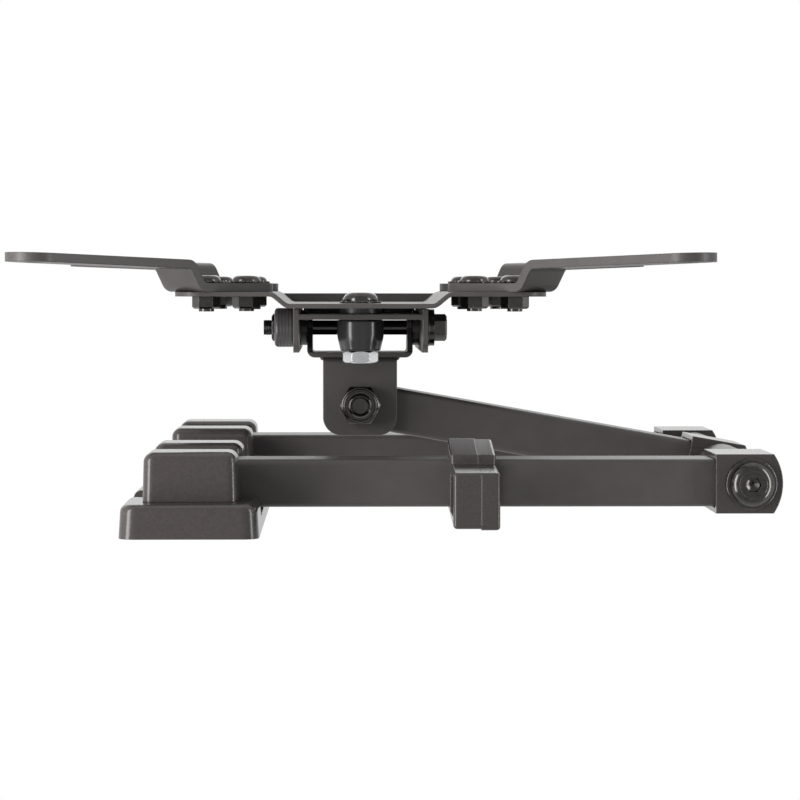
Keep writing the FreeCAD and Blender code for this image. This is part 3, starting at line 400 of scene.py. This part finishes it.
low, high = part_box("tilt_knob")
knob_long = high.x - low.x
knob_r = (high.z - low.z) / 2
rings = [(0.0, TILT_BORE)] + rolled(0.0, knob_r, KNOB_ROLL, 1)
for step in range(1, KNOB_STEPS):
    share = step / KNOB_STEPS
    dip = RING_DEPTH * (0.5 - 0.5 * math.cos(2 * math.pi * KNOB_RINGS * share))
    rings.append((KNOB_ROLL + (knob_long - 2 * KNOB_ROLL) * share, knob_r - dip))
rings += rolled(knob_long, knob_r, KNOB_ROLL, -1) + [(knob_long, TILT_BORE)]
drum = skin_rings("tilt_drum", rings, (low.x, (low.y + high.y) / 2, (low.z + high.z) / 2), (1, 0, 0),
                  "tilt_turn_knob", "knob_plastic")
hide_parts("tilt_knob")
print("drum is", round(2 * knob_r / MM, 1), "mm wide")

# %% [markdown]
# A real nut is cut from hexagonal bar and then chamfered on a lathe, so a cone trims its corners. At
# each height its outline is the smaller of the hexagon and the cone, and that one rule draws the
# curved corner edges. The CAD nuts have straight chamfers, so turned ones replace them where they
# show.

# %% Turned nuts

FLATS = 6
FACE_SHARE = 0.96
CHAMFER = math.radians(32)
CHAMFER_STEPS = 6


def hexagon(flat_r, cone_r):
    """The smaller of a hexagon and a circle, with a corner at angle zero."""
    half = math.pi / FLATS
    return lambda angle: min(flat_r / math.cos(angle % (2 * half) - half), cone_r)


def nut_rings(flat_r, start, end, bore):
    """A chamfered hexagon from start to end along the axis."""
    face_r = FACE_SHARE * flat_r
    trimmed = flat_r / math.cos(math.pi / FLATS) - face_r
    way = 1 if end > start else -1
    rise = trimmed * math.tan(CHAMFER) * way
    shares = [step / CHAMFER_STEPS for step in range(CHAMFER_STEPS + 1)]
    rings = [(start, bore)]
    rings += [(start + rise * share, hexagon(flat_r, face_r + trimmed * share)) for share in shares]
    rings += [(end - rise * share, hexagon(flat_r, face_r + trimmed * share)) for share in reversed(shares)]
    rings.append((end, bore))
    return rings


low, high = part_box("clamp_nut")
bright = skin_rings("clamp_turned_nut", nut_rings((high.z - low.z) / 2, 0.0, high.y - low.y, BOLT_BORE),
                    ((low.x + high.x) / 2, low.y, (low.z + high.z) / 2), (0, 1, 0), "clamp_turn_knob",
                    "zinc_plate", across=(1, 0, 0))
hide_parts("clamp_nut")

low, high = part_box("tilt_nut")
small = skin_rings("tilt_turned_nut", nut_rings((high.z - low.z) / 2, 0.0, high.x - low.x, TILT_BORE),
                   (low.x, (low.y + high.y) / 2, (low.z + high.z) / 2), (1, 0, 0), "tilt_turn_knob",
                   "black_fastener", across=(0, -1, 0))
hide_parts("tilt_nut")
print("two nuts turned")

# %% [markdown]
# The swivel's lock nut carries a collar that holds a nylon ring. The ring sits a little below the
# collar's lip, so a dark groove runs around the bolt. The bolt's own end is chamfered and hollow, and
# its rim shines.

# %% The lock nut and the bolt end

PIVOT_BORE = 4.0 * MM
COLLAR_R = 5.6 * MM
COLLAR_TALL = 1.8 * MM
LIP = 0.35 * MM
GROOVE_R = 4.9 * MM
GROOVE_DEEP = 1.0 * MM
RIM_R = 3.95 * MM
HOLLOW_R = 2.6 * MM
HOLLOW_SLOPE = 0.7 * MM
RIM_TALL = 1.2 * MM
RIM_ROLL = 0.6 * RIM_TALL

low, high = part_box("pivot_lock_nut")
nut_tall = high.z - low.z
rings = nut_rings((high.y - low.y) / 2, nut_tall, COLLAR_TALL, PIVOT_BORE)[:-1]
rings.append((COLLAR_TALL, COLLAR_R))
rings += rolled(0.0, COLLAR_R, LIP, 1)[::-1]
rings += [(0.0, GROOVE_R), (GROOVE_DEEP, GROOVE_R), (GROOVE_DEEP, PIVOT_BORE)]
lock = skin_rings("pivot_turned_nut", rings, ((low.x + high.x) / 2, (low.y + high.y) / 2, low.z), (0, 0, 1),
                  "swivel_head", "black_fastener", across=(1, 0, 0))
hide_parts("pivot_lock_nut")
bolt_low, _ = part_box("pivot_bolt")
rim = [(0.0, HOLLOW_R), (0.0, RIM_R), (RIM_TALL - RIM_ROLL, RIM_R)]
rim += rolled(RIM_TALL, RIM_R, RIM_ROLL, -1)
rim += [(RIM_TALL, HOLLOW_R + HOLLOW_SLOPE), (RIM_TALL - HOLLOW_SLOPE, HOLLOW_R)]
skin_rings("pivot_bolt_rim", rim, ((low.x + high.x) / 2, (low.y + high.y) / 2, bolt_low.z), (0, 0, -1),
           "swivel_head", "black_fastener")
print("lock nut is", round(nut_tall / MM, 1), "mm tall")

# %% [markdown]
# The strap screws sit on toothed lock washers, and so does the clamp bolt's head. A stamped ring with
# twisted teeth bites into what it sits on, and its bare corners catch the light in bright specks.
# Each ring here is a thin disc whose rim steps in and out once per tooth.

# %% Toothed lock washers

TEETH = 14
TOOTH_STEPS = 16
TOOTH = 0.45 * MM
FLANK = 2
WASHER_THICK = 0.8 * MM
WASHER_PROUD = 0.55 * MM
WASHER_TUCK = 0.2 * MM
TOOTH_TWIST = 0.12 * MM
INNER_HOLE = 37.5 * MM
MIDDLE_HOLE = 50.0 * MM
SCREW_HEAD_R = 4.75 * MM
SCREW_HEAD_TALL = 2.5 * MM
CLAMP_HEAD_TALL = 3.6 * MM
CORNERS = ((-1, -1), (1, -1), (1, 1), (-1, 1))
washers = []


def toothed(radius):
    """A rim that steps between tooth and gap, with steep flanks."""
    return lambda angle: radius + TOOTH * max(-1.0, min(1.0, FLANK * math.cos(TEETH * angle)))


def lock_washer(label, seat, head_r):
    """A toothed ring around the foot of a round head, on the face that the head sits on."""
    rim = head_r + WASHER_PROUD
    bore = head_r - WASHER_TUCK
    rings = [(0.0, bore), (0.0, toothed(rim)), (WASHER_THICK / 2, toothed(rim + TOOTH_TWIST)),
             (WASHER_THICK, toothed(rim - 2 * TOOTH_TWIST)), (WASHER_THICK, bore)]
    washers.append(skin_rings(f"lock_washer_{label}", rings, seat, (0, -1, 0), "screen_head",
                              "black_fastener", steps=TEETH * TOOTH_STEPS))


low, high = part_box("plate_screws")
head_x = (low.x + high.x) / 2
seat_y = low.y + SCREW_HEAD_TALL
for number, (side_x, side_z) in enumerate(CORNERS):
    for label, reach in (("inner", INNER_HOLE), ("outer", MIDDLE_HOLE)):
        seat = (head_x + side_x * reach, seat_y, side_z * reach)
        lock_washer(f"{label}_{number}", seat, SCREW_HEAD_R)
low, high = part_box("clamp_bolt")
seat = ((low.x + high.x) / 2, low.y + CLAMP_HEAD_TALL, (low.z + high.z) / 2)
lock_washer("clamp", seat, (high.x - low.x) / 2)
print("lock washers:", len(washers))

# %% [markdown]
# A domed screw closes each end of the elbow pin. Its shoulder is turned and tumbled smooth, so it
# mirrors the soft boxes as crescents while its flat top stays dark. The hexagon socket was pressed
# into a drilled hole, and the cone that the drill left at the bottom glints. A turned shoulder and a
# cone are laid over the plain CAD head.

# %% Elbow screw heads

ELBOW_HEAD_TALL = 3.3 * MM
DOME_R = 6.8 * MM
DOME_TOP_R = 4.4 * MM
DOME_BORE = 4.0 * MM
DOME_LIP = 0.12 * MM
DOME_TUCK = 0.36 * MM
DOME_FLAT = math.radians(12)
DOME_STEEP = math.radians(60)
DOME_STEPS = 10
SOCKET_R = 2.15 * MM
SOCKET_DEEP = 2.4 * MM
CONE_DEEP = 1.2 * MM
CONE_TIP_R = 0.2 * MM
CONE_FLOOR = 0.1 * MM


def dome_rings(top):
    """A shoulder that turns from steep to nearly flat above a straight foot. The head hides its bore."""
    bend = (DOME_R - DOME_TOP_R) / (math.sin(DOME_STEEP) - math.sin(DOME_FLAT))
    rings = [(0.0, DOME_BORE), (0.0, DOME_R)]
    for step in range(DOME_STEPS + 1):
        slope = DOME_STEEP + (DOME_FLAT - DOME_STEEP) * step / DOME_STEPS
        fall = bend * (math.cos(DOME_FLAT) - math.cos(slope))
        spread = bend * (math.sin(slope) - math.sin(DOME_FLAT))
        rings.append((top - fall, DOME_TOP_R + spread))
    return rings + [(top - DOME_TUCK, DOME_BORE)]


cone = [(SOCKET_DEEP, CONE_TIP_R), (SOCKET_DEEP, SOCKET_R), (SOCKET_DEEP - CONE_DEEP, SOCKET_R),
        (SOCKET_DEEP - CONE_FLOOR, CONE_TIP_R)]
low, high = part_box("elbow_screws")
middle = (low + high) / 2
for label, end_z, way in (("lower", low.z, -1), ("upper", high.z, 1)):
    seat = (middle.x, middle.y, end_z - way * ELBOW_HEAD_TALL)
    skin_rings(f"elbow_dome_{label}", dome_rings(ELBOW_HEAD_TALL + DOME_LIP), seat, (0, 0, way), "arm_pair",
               "black_fastener")
    skin_rings(f"elbow_socket_{label}", cone, (middle.x, middle.y, end_z), (0, 0, -way), "arm_pair",
               "black_fastener")
print("elbow domes are", round(2 * DOME_R / MM, 1), "mm wide")

# %% [markdown]
# The bolt ends that stick out of their nuts are threaded. A thread is a ridge that climbs one pitch
# per turn, so each point's height along the axis is its turn times the pitch, and its radius swings
# between crest and root. The crest stands a tenth of a millimetre proud of the plain CAD shank, so
# that the ridges show.

# %% Threads on the bolt ends

CREST = 0.10 * MM
TILT_SHANK_R = 2.5 * MM
TILT_PITCH = 0.8 * MM
END_GAP = 0.2 * MM
THREAD_PROFILE = ((0.0, -0.35), (0.28, 1.0), (0.42, 1.0), (0.70, -0.35))


def thread(name, centre, along, shank_r, length, pitch, body, steps=40):
    """A helical ridge around the end of a shank, closed at both ends of its run."""
    along = Vector(along).normalized()
    across = along.orthogonal().normalized()
    third = along.cross(across)
    shape = bmesh.new()
    loops = []
    for step in range(int((length / pitch - 1) * steps) + 1):
        angle = 2 * math.pi * step / steps
        spoke = across * math.cos(angle) + third * math.sin(angle)
        climb = pitch * step / steps
        loop = []
        for share, height in THREAD_PROFILE:
            rise = along * (climb + share * pitch)
            loop.append(shape.verts.new(Vector(centre) + rise + spoke * (shank_r + height * CREST)))
        loops.append(loop)
    for before, after in zip(loops, loops[1:]):
        for point in range(len(THREAD_PROFILE)):
            onward = (point + 1) % len(THREAD_PROFILE)
            shape.faces.new((before[point], before[onward], after[onward], after[point]))
    shape.faces.new(loops[0][::-1])
    shape.faces.new(loops[-1])
    return keep(name, shape, body, "black_fastener")


bolt_low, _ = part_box("tilt_bolt")
nut_low, nut_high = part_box("tilt_nut")
tilt_axis = (nut_low + nut_high) / 2
thread("tilt_bolt_thread", (bolt_low.x + END_GAP, tilt_axis.y, tilt_axis.z), (1, 0, 0), TILT_SHANK_R,
       nut_low.x - bolt_low.x - END_GAP, TILT_PITCH, "tilt_frame")
print("threads cut")

# %% [markdown]
# The yoke is welded to the clevis it stands on. A weld bead is a row of overlapping ripples where the
# molten pool froze. Each ripple here is one ring of a round bead whose radius swells and shrinks
# along the seam.

# %% Weld beads

RIPPLE = 1.6 * MM
BEAD_R = 1.0 * MM
BEAD_STEPS = 60
BEAD_AROUND = 16
BEAD_SWELL = 0.16
BEAD_TAPER = 6
BEAD_TIP = 0.02
SEAM_INSET = 2.5 * MM
clevis_low, clevis_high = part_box("pivot_clevis")
yoke_low, yoke_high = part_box("tilt_yoke")
seam_long = yoke_high.z - yoke_low.z - 2 * SEAM_INSET
for side, x in (("left", clevis_low.x), ("right", clevis_high.x)):
    rings = []
    for step in range(BEAD_STEPS + 1):
        share = step / BEAD_STEPS
        ripple = 1 + BEAD_SWELL * abs(math.sin(math.pi * share * seam_long / RIPPLE))
        fade = min(1.0, BEAD_TAPER * share + BEAD_TIP, BEAD_TAPER * (1 - share) + BEAD_TIP)
        rings.append((seam_long * share, BEAD_R * ripple * fade))
    skin_rings(f"weld_bead_{side}", rings, (x, clevis_low.y, yoke_low.z + SEAM_INSET), (0, 0, 1),
               "swivel_head", "black_steel", steps=BEAD_AROUND)
print("beads are", round(seam_long / MM, 1), "mm long")

# %% [markdown]
# The photograph is a studio cut-out on white. The mount is seen along its upright axis, from below,
# with the wall side at the foot of the picture. A pale floor lies well below the camera. The floor
# and the world are near white where the camera or a reflection sees them, and dimmer as a light, so
# that black paint keeps its depth.

# %% Floor and world

FLOOR_DROP = 1.5
HALF_FLOOR = 4.0
FLOOR_LIFT = 0.2
FLOOR_ROUGH = 0.8
WHITE = (1, 1, 1, 1)
AMBIENT = 0.35


def share_seen(tree, unseen, seen):
    """One value for rays that light a surface and another for rays that show this one."""
    path = add_node(tree, "ShaderNodeLightPath").outputs
    mirrored = add_node(tree, "ShaderNodeMath", {0: path["Is Glossy Ray"], 1: path["Is Transmission Ray"]},
                        operation="MAXIMUM")
    shown = add_node(tree, "ShaderNodeMath", {0: path["Is Camera Ray"], 1: mirrored.outputs[0]},
                     operation="MAXIMUM")
    level = add_node(tree, "ShaderNodeMapRange", {"Value": shown.outputs[0]}, To_Min=unseen, To_Max=seen)
    return level.outputs[0]


floor_mesh = bpy.data.meshes.new("studio_floor")
floor_corners = [(x * HALF_FLOOR, y * HALF_FLOOR, -FLOOR_DROP) for x, y in CORNERS]
floor_mesh.from_pydata(floor_corners, [], [(0, 1, 2, 3)])
floor = bpy.data.objects.new("studio_floor", floor_mesh)
bpy.context.scene.collection.objects.link(floor)
pale = bpy.data.materials.new("pale_studio_floor")
pale.use_nodes = True
paint = pale.node_tree.nodes["Principled BSDF"]
paint.inputs["Base Color"].default_value = linear("#f2f2f2")
paint.inputs["Roughness"].default_value = FLOOR_ROUGH
paint.inputs["Emission Color"].default_value = WHITE
pale.node_tree.links.new(share_seen(pale.node_tree, 0.0, FLOOR_LIFT), paint.inputs["Emission Strength"])
floor_mesh.materials.append(pale)

world = bpy.data.worlds.new("white_studio")
bpy.context.scene.world = world
world.use_nodes = True
sky = world.node_tree
sky.nodes.clear()
white = add_node(sky, "ShaderNodeBackground", {"Strength": share_seen(sky, AMBIENT, 1.0)}, Color=WHITE)
add_node(sky, "ShaderNodeOutputWorld", {"Surface": white.outputs["Background"]})
print("floor at", -FLOOR_DROP, "m, ambient", AMBIENT)

# %% [markdown]
# Two tall narrow soft boxes stand left and right of the camera. Round corners mirror them as the
# bright upright lines that show where a face turns. A broad fill on the left lights the faces, and
# the light falls off towards the elbow. It isn't mirrored, as with a polarised lamp, so that no face
# turns white when it is seen at a grazing angle. The last box stands behind the mount like a lit
# backdrop.

# %% Soft boxes

SOFT_BOXES = {
    "left_fill": dict(place=(-0.40, -0.05, -0.33), wide=0.40, tall=0.7, brightness=8.8, mirrored=False),
    "left_box": dict(place=(-0.42, -0.05, -0.42), wide=0.20, tall=0.7, brightness=9.0, mirrored=True),
    "right_box": dict(place=(0.52, -0.05, -0.28), wide=0.08, tall=0.7, brightness=9.5, mirrored=True),
    "back_box": dict(place=(-0.10, -0.70, 1.30), wide=1.60, tall=1.0, brightness=0.8, mirrored=True),
}
mount_middle = (cad_box[0] + cad_box[1]) / 2


def soft_box(name, place, wide, tall, brightness, mirrored):
    """An area light that faces the mount, with its tall side along the wall's depth."""
    lamp = bpy.data.lights.new(name, "AREA")
    lamp.shape = "RECTANGLE"
    lamp.size = wide
    lamp.size_y = tall
    lamp.energy = brightness * math.pi * wide * tall
    holder = bpy.data.objects.new(name, lamp)
    holder.visible_glossy = mirrored
    facing = (Vector(place) - mount_middle).normalized()
    sideways = Vector((0, 1, 0)).cross(facing).normalized()
    holder.matrix_world = Matrix((sideways, facing.cross(sideways), facing)).transposed().to_4x4()
    holder.location = place
    bpy.context.scene.collection.objects.link(holder)


for name, box in SOFT_BOXES.items():
    soft_box(name, **box)
print("lights:", ", ".join(SOFT_BOXES))

# %% [markdown]
# The camera sits below the mount with a long lens. Its place comes from the photograph: upright edges
# meet at one point of the picture, and the sizes of near and far pieces give the distance. The lens
# is aimed so that the upright axis runs to that same point.

# %% Camera

PICTURE = 800
FOCAL_PIXELS = 2700
AXIS_PIXEL = (341, 286)
SENSOR = 36.0
CAMERA_PLACE = (46.0 * MM, -76.2 * MM, -926.0 * MM)
camera_data = bpy.data.cameras.new("photo_camera")
camera_data.sensor_width = SENSOR
camera_data.lens = SENSOR * FOCAL_PIXELS / PICTURE
camera = bpy.data.objects.new("photo_camera", camera_data)
bpy.context.scene.collection.objects.link(camera)
camera.location = CAMERA_PLACE
axis_right = (AXIS_PIXEL[0] - PICTURE / 2) / FOCAL_PIXELS
axis_up = (PICTURE / 2 - AXIS_PIXEL[1]) / FOCAL_PIXELS
upright = Vector((axis_right, axis_up, -1))
looking_up = Matrix(((1, 0, 0), (0, -1, 0), (0, 0, -1))).to_quaternion()
aim = upright.normalized().rotation_difference(Vector((0, 0, -1)))
camera.rotation_mode = "QUATERNION"
camera.rotation_quaternion = looking_up @ aim
bpy.context.scene.camera = camera
bpy.context.scene.view_settings.view_transform = "Standard"
print("lens", round(camera_data.lens, 1), "mm")
